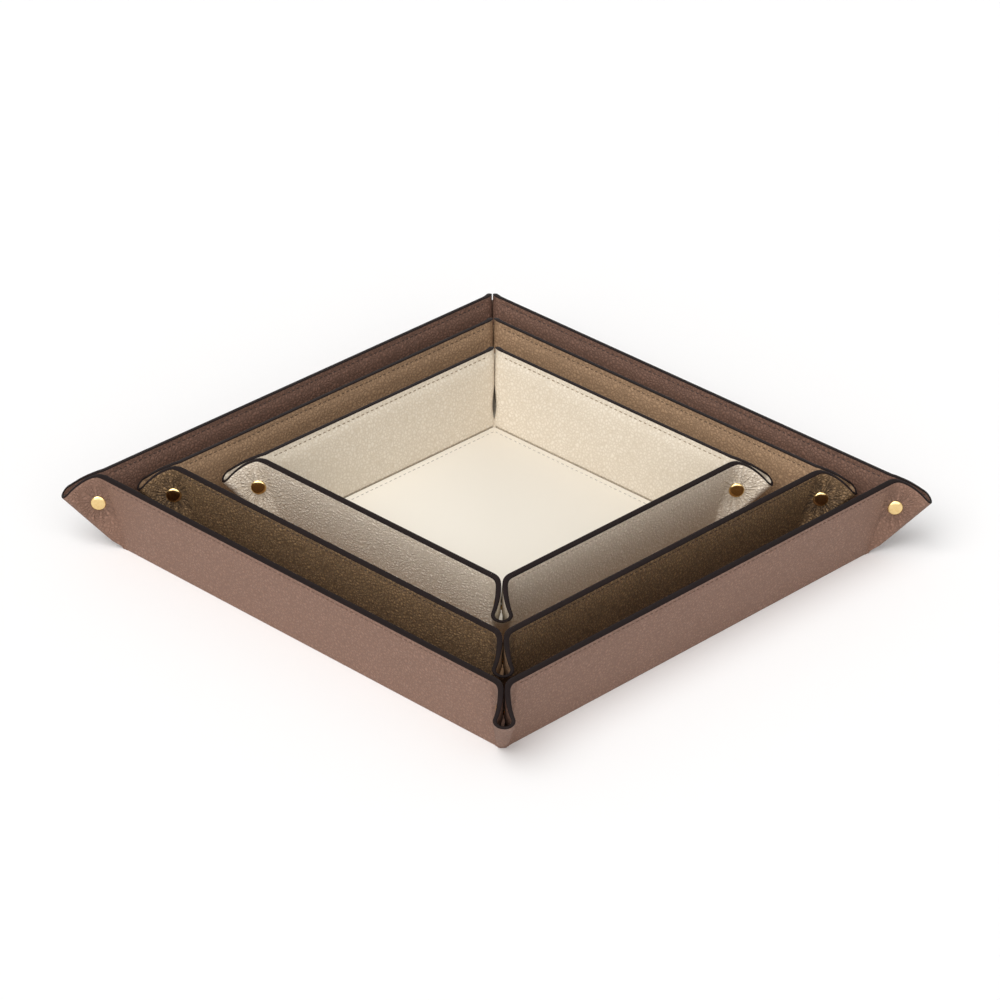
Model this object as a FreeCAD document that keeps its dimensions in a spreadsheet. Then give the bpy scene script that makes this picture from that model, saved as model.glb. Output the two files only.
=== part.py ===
import FreeCAD, Part
import math
import os
import Sketcher

# A nest of three square leather trays. Each tray is a flat leather cover sewn over boards. Its walls
# stand while the four corners are pinched into ears and held by press studs, and lie flat when they open.
# Millimetres and degrees, +Z up, with the origin under the middle of the large tray.

TRAYS = ("large", "medium", "small")
SIDES = ("front", "right", "back", "left")

SIZES = {
    # Outer side of each tray at its base, and the walls
    "large_side": 250,
    "medium_side": 200,
    "small_side": 144,
    "wall_height": 40,
    "wall_lean": 12.9,
    # Leather skins, and the boards between them
    "outer_skin": 1.1,
    "lining_skin": 1.0,
    "wall_board": 2.1,
    "floor_board": 2.4,
    # Clearances of the creases
    "wall_lift": 0.3,
    "mitre_gap": 0.15,
    "corner_gap": 0.45,
    "seam_gap": 0.1,
    # Ears: the pinch between the linings, the rising fold and the loop at the tip
    "pinch_gap": 1.2,
    "fold_rise": 47.3,
    "nose_radius": 4.9,
    "crown_fillet": 6.2,
    "root_fillet": 0.3,
    "root_lead": 0.3,
    "root_leg": 0.15,
    # Press studs: place below the rim and out from the crease, cap, socket and stud
    "snap_drop": 14.1,
    "snap_inset": 4.53,
    "cap_radius": 3.75,
    "cap_rise": 1.7,
    "cap_gap": 0.1,
    "shank_radius": 1.3,
    "socket_radius": 2.7,
    "socket_stand": 0.4,
    "cavity_radius": 1.65,
    "cavity_depth": 1.0,
    "stud_radius": 1.45,
    "stud_reach": 1.1,
    "hole_gap": 0.1,
    # How far cutters and blanks run past what they cut
    "overrun": 5,
}

# Chords that stand for the rounds of an ear, for the bars and holes of a press stud, and for its cap
BEND_CHORDS = 1
FLARE_CHORDS = 2
NOSE_CHORDS = 4
RIM_CHORDS = 8
BAR_CHORDS = 12
CAP_CHORDS = 24

# Radius of a cap's crown, as a share of the cap's radius
CROWN_SHARE = 0.55

doc = FreeCAD.newDocument("ValetTrays")
sheet = doc.addObject("Spreadsheet::Sheet", "Sizes")
for row, (alias, value) in enumerate(SIZES.items(), start=1):
    sheet.set(f"A{row}", alias)
    sheet.set(f"B{row}", str(value))
    sheet.setAlias(f"B{row}", alias)
doc.recompute()


def size(alias):
    return float(sheet.get(alias))


# Depths from the outer face of a wall or the underside of a floor, as expressions
OUTER = "Sizes.outer_skin"
WALL_CORE = f"({OUTER} + Sizes.wall_board)"
WALL_DEPTH = f"({WALL_CORE} + Sizes.lining_skin)"
FLOOR_CORE = f"({OUTER} + Sizes.floor_board)"
FLOOR_DEPTH = f"({FLOOR_CORE} + Sizes.lining_skin)"

# Floor and wall layers meet on the plane that halves the angle between them
MITRE_ANGLE = "((90 - Sizes.wall_lean) / 2)"
MITRE = f"tan({MITRE_ANGLE})"

# Heights of the press stud's faces from the middle plane of the ear
LINING_FACE = "(Sizes.pinch_gap / 2)"
SKIN_SEAM = f"({LINING_FACE} + Sizes.lining_skin)"
CAP_SEAT = f"({SKIN_SEAM} + {OUTER} + Sizes.cap_gap)"
SOCKET_FACE = f"({LINING_FACE} - Sizes.socket_stand)"


def value_of(expression):
    return float(sheet.evalExpression(expression))


def draw_loop(sketch, corners):
    """Closed outline whose corners are bound to expressions in the sheet."""
    points = [FreeCAD.Vector(value_of(across), value_of(along), 0) for across, along in corners]
    lines = [sketch.addGeometry(Part.LineSegment(points[i - 1], points[i])) for i in range(len(points))]
    for i, line in enumerate(lines):
        sketch.addConstraint(Sketcher.Constraint("Coincident", lines[i - 1], 2, line, 1))
        for kind, expression, place in zip(("DistanceX", "DistanceY"), corners[i], points[i]):
            index = sketch.addConstraint(Sketcher.Constraint(kind, -1, 1, line, 2, place))
            sketch.setExpression(f"Constraints[{index}]", expression)


def add_sketch(body, plane_role, name, *loops):
    plane = next(feature for feature in body.Origin.OriginFeatures if feature.Role == plane_role)
    sketch = body.newObject("Sketcher::SketchObject", name)
    sketch.AttachmentSupport = (plane, [""])
    sketch.MapMode = "FlatFace"
    for corners in loops:
        draw_loop(sketch, corners)
    return sketch


def add_body(label):
    body = doc.addObject("PartDesign::Body", label)
    body.Label = label
    return body


def raised(height, *placements):
    place = FreeCAD.Placement(FreeCAD.Vector(0, 0, height), FreeCAD.Rotation())
    for placement in placements:
        place = place.multiply(placement)
    return place


def turned(axis, angle):
    return FreeCAD.Placement(FreeCAD.Vector(), FreeCAD.Rotation(FreeCAD.Vector(*axis), angle))


def moved(*offset):
    return FreeCAD.Placement(FreeCAD.Vector(*offset), FreeCAD.Rotation())


def base_height(tray):
    """Each inner tray stands on the lining of the tray round it."""
    return TRAYS.index(tray) * value_of(FLOOR_DEPTH)


def quarter_turn(side):
    return turned((0, 0, 1), 90 * SIDES.index(side))


def wall_place(tray, side):
    """Local X runs along the wall, Y up its slope and Z out of its outer face."""
    hinge = moved(0, -size(f"{tray}_side") / 2, size("wall_lift"))
    return raised(base_height(tray), quarter_turn(side), hinge, turned((1, 0, 0), 90 + size("wall_lean")))


def ear_place(tray, side):
    """Ear at the right-hand end of a wall: X points out along the diagonal."""
    half = size(f"{tray}_side") / 2
    corner = moved(half, -half, size("wall_lift"))
    return raised(base_height(tray), quarter_turn(side), corner, turned((0, 0, 1), -45))


# Floors
def floor_layer(tray, layer, low, high, taper):
    """Square layer of the floor between two depths, cut back inside the mitre with the walls."""
    body = add_body(f"{tray}_floor_{layer}")
    mitred_at = low if taper else high
    half = f"Sizes.{tray}_side / 2 - Sizes.mitre_gap - {mitred_at} * {MITRE}"
    square = [(f"-({half})", f"-({half})"), (half, f"-({half})"), (half, half), (f"-({half})", half)]
    pad = body.newObject("PartDesign::Pad", "Plate")
    pad.Profile = add_sketch(body, "XY_Plane", "Square", square)
    pad.setExpression("Length", f"{high} - {low}")
    if taper:
        pad.setExpression("TaperAngle", f"-{MITRE_ANGLE}")
    body.Placement = raised(base_height(tray) + value_of(low))
    return body


# Walls
def wall_layer(tray, layer, near, far):
    """Layer of a wall between two depths, with a mitred foot and ends that follow the ear's crease."""
    body = add_body(f"{tray}_wall_{layer}")
    foot_near = f"Sizes.mitre_gap + {near} * {MITRE}"
    foot_far = f"Sizes.mitre_gap + {far} * {MITRE}"
    height = "Sizes.wall_height"
    section = [(foot_near, f"-{near}"), (foot_far, f"-{far}"), (height, f"-{far}"), (height, f"-{near}")]
    pad = body.newObject("PartDesign::Pad", "Panel")
    pad.Profile = add_sketch(body, "YZ_Plane", "Section", section)
    pad.SideType = "Symmetric"
    pad.setExpression("Length", f"Sizes.{tray}_side + 2 * Sizes.wall_height")

    foot_end = f"Sizes.{tray}_side / 2 - {WALL_DEPTH} * cos(Sizes.wall_lean) - Sizes.corner_gap * sqrt(2)"
    low = "-Sizes.overrun"
    high = f"{height} + Sizes.overrun"
    low_end = f"{foot_end} - Sizes.overrun * sin(Sizes.wall_lean)"
    high_end = f"{foot_end} + ({high}) * sin(Sizes.wall_lean)"
    past = f"Sizes.{tray}_side / 2 + Sizes.wall_height + Sizes.overrun"
    right = [(low_end, low), (past, low), (past, high), (high_end, high)]
    left = [(f"-({across})", along) for across, along in right]
    pocket = body.newObject("PartDesign::Pocket", "Ends")
    pocket.Profile = add_sketch(body, "XY_Plane", "EndCuts", right, left)
    pocket.Type = "ThroughAll"
    pocket.SideType = "Symmetric"
    return body


# Ears
class EarLevel:
    """Plan of an ear at one height: bend at the wall's end, flat leg, flare and round nose."""

    def __init__(self, height, lead, fillet):
        self.height = height
        self.lead = lead
        self.fillet = fillet
        self.leg = ear_leg()
        self.crease = crease_out(height)
        self.nose = self.leg + (size("nose_radius") - self.leg) * height / ear_tip_height()
        self.run = math.sqrt((self.nose + fillet) ** 2 - (self.leg + fillet) ** 2)
        self.centre = self.crease + lead + size("root_leg") + self.run

    def reach_from(self, root):
        """Carries the nose out along the rising fold that starts at the root."""
        climb = (self.height - root.height) / math.tan(math.radians(size("fold_rise")))
        self.centre = root.centre + root.nose + climb - self.nose
        return self

    def half(self, depth, mirror):
        """Points from the wall's end to the tip of the nose, at a depth under the outer face."""
        bend = self.lead / math.tan(math.radians(22.5))
        bend_centre = (self.crease + self.lead, -self.leg - bend)
        flare_centre = (self.centre - self.run, -self.leg - self.fillet)
        meet = math.atan2(self.leg + self.fillet, self.run)
        quarter = math.radians(90)

        def arc(centre, radius, first, last, chords):
            points = []
            for i in range(chords + 1):
                angle = first + (last - first) * i / chords
                across = centre[0] + radius * math.cos(angle)
                along = centre[1] + radius * math.sin(angle)
                points.append(FreeCAD.Vector(across, mirror * along, self.height))
            return points

        bend_points = arc(bend_centre, bend + depth, 1.5 * quarter, quarter, BEND_CHORDS)
        flare_points = arc(flare_centre, self.fillet + depth, quarter, meet, FLARE_CHORDS)
        nose_points = arc((self.centre, 0), self.nose - depth, meet - 2 * quarter, 0, NOSE_CHORDS)
        return bend_points + flare_points + nose_points[1:]

    def band(self, near, far):
        """Closed outline of one skin, round the whole loop."""
        outside = self.half(near, 1) + self.half(near, -1)[-2::-1]
        inside = self.half(far, -1) + self.half(far, 1)[-2::-1]
        return outside + inside


def wall_rise():
    return value_of("Sizes.wall_height * cos(Sizes.wall_lean)")


def ear_leg():
    """How far the outer face of an ear's flat leg stands from the ear's middle plane."""
    return value_of(f"{SKIN_SEAM} + {OUTER}")


def crease_out(height):
    """How far out along the diagonal the crease beside the wall has come at a height."""
    return math.sqrt(2) * height * math.tan(math.radians(size("wall_lean"))) - ear_leg()


def ear_radius():
    """The cover's corners are rounded about the base corner, and meet the rim at the ear's crease."""
    return math.hypot(crease_out(wall_rise()), wall_rise())


def ear_tip_height():
    return ear_radius() * math.sin(math.radians(size("fold_rise")))


def snap_spot():
    """Where a press stud's axis crosses the middle plane of its ear."""
    up = wall_rise() - size("snap_drop")
    return crease_out(up) + size("snap_inset"), up


def closed_face(points):
    return Part.Face(Part.makePolygon(points + points[:1]))


def ruled_solid(low, high):
    """Solid between two outlines of as many points, with flat faces."""
    faces = [closed_face(low), closed_face(high)]
    for i in range(len(low)):
        faces.append(closed_face([low[i - 1], low[i], high[i]]))
        faces.append(closed_face([low[i - 1], high[i], high[i - 1]]))
    shell = Part.makeShell(faces)
    shell.sewShape()
    return Part.makeSolid(shell).removeSplitter()


def ring(radius, chords, place):
    """Points of a many-sided round about the Z axis of a placement."""
    points = []
    for i in range(chords):
        angle = math.radians(360 * i / chords)
        points.append(place.multVec(FreeCAD.Vector(radius * math.cos(angle), radius * math.sin(angle), 0)))
    return points


def snap_hole(radius, reach):
    """Bar through both legs of an ear at the press stud."""
    out, up = snap_spot()
    across = moved(out, -reach, up).multiply(turned((1, 0, 0), -90))
    return closed_face(ring(radius, BAR_CHORDS, across)).extrude(FreeCAD.Vector(0, 2 * reach, 0))


def cap_seats(reach):
    """The leather is pressed down under both caps, so none of it stands higher than their seats there."""
    out, up = snap_spot()
    radius = size("cap_radius") + size("hole_gap")
    seat = value_of(CAP_SEAT)
    seats = []
    for way in (1, -1):
        start = FreeCAD.Vector(out, way * seat, up)
        seats.append(Part.makeCylinder(radius, reach - seat, start, FreeCAD.Vector(0, way, 0)))
    return seats


def rim_rounding(reach):
    """Bar across the ear that rounds its rim about the base corner, out from the crease."""
    top = math.atan2(wall_rise(), crease_out(wall_rise()))
    outline = [FreeCAD.Vector(-reach, -reach, wall_rise()), FreeCAD.Vector(-reach, -reach, 0)]
    for i in range(RIM_CHORDS + 1):
        angle = top * i / RIM_CHORDS
        outline.append(FreeCAD.Vector(ear_radius() * math.cos(angle), -reach, ear_radius() * math.sin(angle)))
    return closed_face(outline).extrude(FreeCAD.Vector(0, 2 * reach, 0))


def ear_skin(near, far, hole_radius):
    """One skin of an ear: ruled from root to crown, rounded at the rim and holed for the stud."""
    end_room = value_of(f"{WALL_DEPTH} * cos(Sizes.wall_lean) + Sizes.corner_gap * sqrt(2)")
    root = EarLevel(size("outer_skin") + size("seam_gap"), size("root_lead"), size("root_fillet"))
    crown_lead = end_room - ear_leg() * math.sqrt(2) - size("seam_gap")
    crown = EarLevel(wall_rise(), crown_lead, size("crown_fillet")).reach_from(root)
    sleeve = ruled_solid(root.band(near, far), crown.band(near, far))
    reach = crown.nose + end_room + size("overrun")
    rounded = sleeve.common(rim_rounding(reach))
    return rounded.cut([snap_hole(hole_radius, reach)] + cap_seats(reach)).Solids[0]


def ear_skins():
    outer = size("outer_skin")
    shank_hole = size("shank_radius") + size("hole_gap")
    socket_hole = size("socket_radius") + size("hole_gap")
    return [
        ear_skin(0, outer, shank_hole),
        ear_skin(outer, outer + size("lining_skin"), socket_hole),
    ]


def corner_gussets(tray, skins):
    """The soft corners of a tray, four ears of two skins each."""
    gussets = doc.addObject("Part::Feature", f"{tray}_corner_gussets")
    gussets.Label = f"{tray}_corner_gussets"
    lift = raised(-base_height(tray))
    ears = []
    for side in SIDES:
        for skin in skins:
            ear = skin.copy()
            ear.Placement = lift.multiply(ear_place(tray, side))
            ears.append(ear)
    gussets.Shape = Part.makeCompound(ears)
    gussets.Placement = raised(base_height(tray))
    return gussets


# Press studs
def add_bar(name, radius, low, high):
    bar = doc.addObject("Part::Prism", name)
    bar.Polygon = BAR_CHORDS
    bar.setExpression("Circumradius", radius)
    bar.setExpression("Height", f"{high} - {low}")
    bar.setExpression("Placement.Base.z", low)
    return bar


def snap_cap():
    """Raised cap on the outer face, with the shank that goes through the outer skin."""
    seat = value_of(CAP_SEAT)
    rim = ring(size("cap_radius"), CAP_CHORDS, raised(seat))
    crown = ring(size("cap_radius") * CROWN_SHARE, CAP_CHORDS, raised(seat + size("cap_rise")))
    foot = closed_face(ring(size("shank_radius"), BAR_CHORDS, raised(value_of(SKIN_SEAM))))
    shank = foot.extrude(FreeCAD.Vector(0, 0, seat - value_of(SKIN_SEAM)))
    cap = doc.addObject("Part::Feature", "snap_cap")
    cap.Shape = ruled_solid(rim, crown).fuse(shank)
    return cap


def snap_socket():
    """Disc let into the lining, with the cavity that takes the stud."""
    socket = doc.addObject("Part::Cut", "snap_socket")
    cavity_end = f"({SOCKET_FACE} + Sizes.cavity_depth)"
    socket.Base = add_bar("socket_disc", "Sizes.socket_radius", SOCKET_FACE, SKIN_SEAM)
    socket.Tool = add_bar("socket_cavity", "Sizes.cavity_radius", SOCKET_FACE, cavity_end)
    return socket


def snap_stud():
    """Disc let into the lining, with the nub that clicks into the socket."""
    stud = doc.addObject("Part::Fuse", "snap_stud")
    nub_end = f"({SOCKET_FACE} - Sizes.stud_reach)"
    stud.Base = add_bar("stud_disc", "Sizes.socket_radius", SOCKET_FACE, SKIN_SEAM)
    stud.Tool = add_bar("stud_nub", "Sizes.stud_radius", nub_end, SOCKET_FACE)
    return stud


def placed_group(label, pieces, placement):
    group = doc.addObject("Part::Compound", label)
    group.Label = label
    group.Links = pieces
    group.Placement = placement
    return group


def snap_place(tray, side, tilt):
    out, up = snap_spot()
    return ear_place(tray, side).multiply(moved(out, 0, up)).multiply(turned((1, 0, 0), tilt))


def build_tray(tray, skins, cap, socket, stud):
    parts = [
        floor_layer(tray, "outer", "0", OUTER, True),
        floor_layer(tray, "board", OUTER, FLOOR_CORE, False),
        floor_layer(tray, "lining", FLOOR_CORE, FLOOR_DEPTH, False),
        corner_gussets(tray, skins),
    ]
    outer = wall_layer(tray, "outer", "0", OUTER)
    board = wall_layer(tray, "board", OUTER, WALL_CORE)
    lining = wall_layer(tray, "lining", WALL_CORE, WALL_DEPTH)
    for index, side in enumerate(SIDES):
        place = wall_place(tray, side)
        parts.append(placed_group(f"{tray}_{side}_wall", [outer, lining], place))
        parts.append(placed_group(f"{tray}_{side}_board", [board], place))
        stud_place = snap_place(tray, side, 90)
        socket_place = snap_place(tray, SIDES[index - 1], -90)
        parts.append(placed_group(f"{tray}_{side}_snap_stud", [cap, stud], stud_place))
        parts.append(placed_group(f"{tray}_{side}_snap_socket", [cap, socket], socket_place))
    return parts


def check_and_write(parts):
    doc.recompute()
    for thing in doc.Objects:
        if "Invalid" in thing.State or "Error" in thing.State:
            raise RuntimeError(f"{thing.Label} failed: {thing.State}")
    for part in parts:
        if part.Shape.isNull() or not part.Shape.isValid():
            raise RuntimeError(f"{part.Label} has no valid shape")
    os.makedirs("parts", exist_ok=True)
    for part in parts:
        part.Shape.exportStep(f"parts/{part.Label}.step")
        print(part.Label, len(part.Shape.Solids), "solids", round(part.Shape.Volume, 1), "mm3")


def main():
    skins = ear_skins()
    cap = snap_cap()
    socket = snap_socket()
    stud = snap_stud()
    parts = []
    for tray in TRAYS:
        parts += build_tray(tray, skins, cap, socket, stud)
    check_and_write(parts)


main()
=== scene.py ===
import functools
import math

import bmesh
import bpy
from mathutils import Matrix, Vector


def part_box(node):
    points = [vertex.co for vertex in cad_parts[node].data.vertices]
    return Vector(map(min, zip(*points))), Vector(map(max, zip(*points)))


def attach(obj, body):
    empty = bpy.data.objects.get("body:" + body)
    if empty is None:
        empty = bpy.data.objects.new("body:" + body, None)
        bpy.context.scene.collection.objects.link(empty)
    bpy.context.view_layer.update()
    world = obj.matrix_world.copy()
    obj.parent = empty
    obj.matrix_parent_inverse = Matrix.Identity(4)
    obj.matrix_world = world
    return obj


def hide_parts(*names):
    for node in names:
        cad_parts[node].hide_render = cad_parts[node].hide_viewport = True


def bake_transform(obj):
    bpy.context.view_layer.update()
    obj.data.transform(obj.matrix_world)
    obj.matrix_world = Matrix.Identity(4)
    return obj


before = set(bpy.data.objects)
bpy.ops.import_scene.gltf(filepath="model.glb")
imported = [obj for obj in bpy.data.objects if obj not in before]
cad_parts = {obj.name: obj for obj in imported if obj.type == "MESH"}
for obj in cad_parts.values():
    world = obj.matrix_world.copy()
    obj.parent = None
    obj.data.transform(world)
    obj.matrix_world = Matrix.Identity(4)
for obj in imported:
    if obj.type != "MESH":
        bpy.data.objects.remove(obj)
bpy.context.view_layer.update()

# Lengths of the object are in millimetres, as in the part's source, until they reach the scene.
# Those of the studio and the camera are in metres.
MILLIMETRE = 0.001
TRAYS = ("large", "medium", "small")
SIDES = ("front", "right", "back", "left")

LEAN = math.radians(12.9)
WALL_HEIGHT = 40
WALL_LIFT = 0.3
WALL_RISE = WALL_HEIGHT * math.cos(LEAN)
MITRE_GAP = 0.15
OUTER_SKIN = 1.1
WALL_DEPTH = 4.2
FLOOR_DEPTH = 4.5
LINING_SKIN = 1.0
RIM_THINNING = 1.2
THIN_RUN = 7

# Ears: half width and flat stretch of the pinched legs, thickness, and the rounds from root to crown
EAR_LEG = 2.7
ROOT_HALF_WIDTH = 2
PINCH_RISE = 12
LEG_SKIN = 2.45
EAR_SKIN = 1.8
LINING_PLAY = 0.15
FOLD_RISE = math.radians(45.5)
RIM_DROOP_SHARE = 0.05
NOSE_RADIUS = 4.9
CROWN_LEAD = 3.5
ROOT_HEIGHT = 0.2
ROOT_FILLET = 0.3
ROOT_LEAD = 0.3
ROOT_LEG = 0.15
ROOT_ROUND = 4
ROOT_SQUASH_SHARE = 0.25
EAR_FOOT = -0.2
WALL_OVERLAP = 1.2
WALL_LAP = 0.3
LAP_LIFT = 0.03
SNAP_DROP = 14.1
SNAP_INSET = 4.53
SNAP_FLAT = 4.2
SNAP_FLAT_REACH = 11
HALF_BEND = math.radians(22.5)

# Where an ear's two skins part, as shares of its thickness
OUTER_BACK_SHARE = 0.45
LINING_BACK_SHARE = 0.55

# The lining's corner gapes a little above the floor
GAPE_WIDTH = 1.1
GAPE_HEIGHT = 13
GAPE_REACH = 12

# Painted edge: how far it stands above the rim and past the faces, and how square it is
BEAD_RISE = 0.5
BEAD_SPREAD_SHARE = 1.04
BEAD_SQUARENESS = 0.7
BEAD_STEPS = 9

# Wall skins: where they start over the crease, and the groove that the stitches lie in
FOOT_UP = 1.3
LINING_FOOT_UP = 3.9
GROOVE = 0.12
GROOVE_HALF = 0.5
EDGE_TUCK = 0.8
LINING_TUCK = 0.1
BOARD_FOOT_UP = 3
BOARD_TUCK = 1.5
BOARD_END_GAP = 2
BOARD_PLAY = 0.1

# Floors: how far the sole and the lining stay inside the base, their corners and softened edges
SOLE_INSET = 0.3
SOLE_CORNER = 2
FLOOR_INSET = 3.75
FLOOR_CORNER = 0.8
SOFT_EDGE = 0.25
CREASE_SKIN = 0.7
CREASE_END = 2
LINING_CREASE_END = 4.4
VALLEY_INSET = 3.4
VALLEY_HEIGHT = 0.5

# Sewing: pitch, length and thickness of the stitches, and their distance from the rim and from the crease
STITCH_PITCH = 3.1
STITCH_LENGTH = 1.8
STITCH_RADIUS = 0.2
STITCH_LIFT = 0.04
STITCH_END_GAP = 1
STITCH_SHAPE_SHARES = ((-0.5, 0.35), (-0.34, 1), (0.34, 1), (0.5, 0.35))
RIM_TO_STITCH = 2.1
CREASE_TO_STITCH = 3.6

# Press studs: caps, and where their stems end between the two halves of an ear
CAP_RADIUS = 3.75
CAP_RISE = 0.85
CAP_SEAT = 2.8
SKIN_SEAM = 1.6
SHANK_RADIUS = 1.3
WASHER_RADIUS = 2.7

# Fineness of the meshes
EAR_ROWS = 20
WALL_COLUMNS = 40
CREASE_COLUMNS = 24
CREASE_STEPS = 8
CORNER_STEPS = 5
CAP_STEPS = 40
STITCH_SIDES = 6
RISE_STEPS = 18
RIM_SEARCH_STEPS = 24
SECTION_STEPS = {"bend": 6, "leg": 6, "flare": 8, "nose": 10}
SHARP_ANGLE = math.radians(50)

# Leather: how its grain is warped, in grains, and its ranges (from low, from high, to low, to high)
WARP_SPAN_SHARE = 2
WARP_SHARE = 1.2
PEBBLE_RISE = (0, 0.45, 0, 1)
# Tone from crevice to pebble top: partly the grain's own, partly painted highlight and painted shade.
PEBBLE_TONE_AND_PAINTED_LIGHT = (0.1, 0.9, 0.3, 1)
MOTTLE_SCALE = 38
MOTTLE_DETAIL = 4
MOTTLE_TONE = (0.3, 0.7, 0.85, 1)
LINING_SWELL = 0.6
OUTER_SWELL = 0.9
OUTER_ROUGHNESS = 0.5
EAR_ROUGHNESS = 0.6
LINING_ROUGHNESS = 0.6
CREASE_ROUGHNESS = 0.8
FLOOR_ROUGHNESS = 0.5
CREVICE_ROUGHNESS = 0.15
LEATHER_SPECULAR = 0.4
LINING_GRAIN = 1.7
FLOOR_GRAIN = 0.7
FLOOR_GRAIN_DEPTH = 0.03
# Painted shade in the crease strip: it takes the lining's dark colour, and this share of that for its
# crevices.
CREASE_SHADE_SHARE = 0.5
FLOOR_THREAD_SHARE = 0.6

# Puckers round a snap: their closeness, and ranges over the radius and over the noise that draws them; the
# last range darkens the tone in their valleys, as painted shade
PUCKER_DEPTH = 0.5
PUCKER_CLOSENESS = 4.6
PUCKER_DRIFT = (0, 10, 0, 0.9)
PUCKER_SCALE = 1.6
PUCKER_DETAIL = 2
PUCKER_FADE = (5, 18, 1, 0)
PUCKER_VALLEY = (0.4, 0.58, 0.75, 0)
PUCKER_PAINTED_SHADE = (0, 1, 1, 0)

# Edge paint, thread, brass and board: colours in 0 to 255, and the scale and detail of their textures
PAINT_DARK = (16, 10, 9)
PAINT_LIGHT = (31, 21, 20)
PAINT_SCALE = 420
PAINT_DETAIL = 3
PAINT_BUMP_SHARE = 0.6
PAINT_BUMP = 0.12
PAINT_ROUGHNESS = 0.65
PAINT_SPECULAR = 0.1
THREAD_SCALE = 900
THREAD_DISTORTION = 2
THREAD_DARK_SHARE = 0.7
THREAD_ROUGHNESS = 0.65
BRASS_DARK = (221, 184, 118)
BRASS_LIGHT = (246, 219, 162)
BRASS_SCALE = 900
BRASS_DETAIL = 4
BRASS_GLOSS = (0.3, 0.7, 0.1, 0.2)
BOARD_DARK = (120, 104, 84)
BOARD_LIGHT = (164, 147, 122)
BOARD_SCALE = 700
BOARD_DETAIL = 5
BOARD_ROUGHNESS = 0.9

# Studio: each light's direction, strength and spread
LIGHTS = {
    "front_key": ((0.05, -0.58, 0.81), 1.7, 50),
    "camera_fill": ((0.6, -0.63, 0.5), 1.85, 80),
}
WHITE = (1, 1, 1, 1)
SURROUND_STRENGTH = 0.36
STUDIO_REACH = 3
STUDIO_COLOUR = (0.93, 0.922, 0.917, 1)
STUDIO_ROUGHNESS = 0.9


def lerp(low, high, share):
    return low + (high - low) * share


def smooth_step(share):
    share = min(max(share, 0), 1)
    return share * share * (3 - 2 * share)


def srgb(red, green, blue):
    """Colour of a photograph's 0 to 255 values, as the shaders take it."""
    def linear(level):
        level /= 255
        return level / 12.92 if level <= 0.04045 else ((level + 0.055) / 1.055) ** 2.4

    return linear(red), linear(green), linear(blue), 1


def darker(colour, share):
    return tuple(level * share for level in colour[:3]) + (1,)


# Places
def measure_trays():
    """Half the side of each tray's base, and the height of that base over the ground."""
    halves = {}
    bases = {}
    for tray in TRAYS:
        low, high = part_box(f"{tray}_floor_outer")
        halves[tray] = (high[0] - low[0]) / MILLIMETRE / 2 + MITRE_GAP
        bases[tray] = low[2] / MILLIMETRE
    return halves, bases


HALF_SIDES, BASES = measure_trays()
TURNS = {side: Matrix.Rotation(math.radians(90 * index), 4, "Z") for index, side in enumerate(SIDES)}
TO_DIAGONAL = Matrix.Rotation(math.radians(-45), 4, "Z")


def wall_point(tray, side, along, up, depth):
    """A place on a wall: along it, up its slope, and under its outer face."""
    out = -HALF_SIDES[tray] - up * math.sin(LEAN) + depth * math.cos(LEAN)
    height = WALL_LIFT + up * math.cos(LEAN) + depth * math.sin(LEAN)
    return TURNS[side] @ Vector((along, out, BASES[tray] + height))


def ear_point(tray, side, local):
    """A place on the ear at a wall's right-hand end: out along the diagonal, across, and up."""
    corner = Vector((HALF_SIDES[tray], -HALF_SIDES[tray], BASES[tray] + WALL_LIFT))
    return TURNS[side] @ (corner + TO_DIAGONAL @ local)


# Meshes
def add_mesh(name, points, faces, materials, face_materials=None):
    mesh = bpy.data.meshes.new(name)
    mesh.from_pydata([Vector(point) * MILLIMETRE for point in points], [], faces)
    for material in materials:
        mesh.materials.append(material)
    if face_materials:
        mesh.polygons.foreach_set("material_index", face_materials)
    mesh.polygons.foreach_set("use_smooth", [True] * len(faces))
    shell = bmesh.new()
    shell.from_mesh(mesh)
    bmesh.ops.recalc_face_normals(shell, faces=shell.faces)
    shell.to_mesh(mesh)
    shell.free()
    mesh.set_sharp_from_angle(angle=SHARP_ANGLE)
    mesh.validate()
    piece = bpy.data.objects.new(name, mesh)
    bpy.context.scene.collection.objects.link(piece)
    return piece


def rungs(start, count):
    """End faces across a loop that runs up one face and down the other."""
    last = start + count - 1
    steps = range((count - 1) // 2)
    quads = [(start + i, start + i + 1, last - i - 1, last - i) for i in steps]
    return [tuple(dict.fromkeys(quad)) for quad in quads]


def loft(loops, kind_at=None, by_rungs=False):
    """Closed skin through closed loops of as many points, with end faces, in rungs if asked.

    kind_at gives the material of a face from the number of its loop and of its strip."""
    count = len(loops[0])
    points = [point for loop in loops for point in loop]
    faces = []
    face_materials = []
    for ring in range(len(loops) - 1):
        for i in range(count):
            low = ring * count + i
            after = ring * count + (i + 1) % count
            faces.append((low, after, after + count, low + count))
            face_materials.append(kind_at(ring, i) if kind_at else 0)
    for start in (0, len(points) - count):
        faces += rungs(start, count) if by_rungs else [tuple(range(start, start + count))]
    face_materials += [0] * (len(faces) - len(face_materials))
    return points, faces, face_materials


# Materials
def new_material(name):
    material = bpy.data.materials.new(name)
    material.use_nodes = True
    return material, material.node_tree.nodes, material.node_tree.links


def add_node(nodes, kind, **values):
    node = nodes.new(kind)
    for name, value in values.items():
        if name in node.inputs:
            node.inputs[name].default_value = value
        else:
            setattr(node, name, value)
    return node


def map_range(nodes, links, source, values, **settings):
    """Maps a value from one range to another: values is (from low, from high, to low, to high)."""
    node = add_node(nodes, "ShaderNodeMapRange", **settings)
    for socket, value in zip(("From Min", "From Max", "To Min", "To Max"), values):
        node.inputs[socket].default_value = value
    links.new(source, node.inputs["Value"])
    return node.outputs["Result"]


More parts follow.
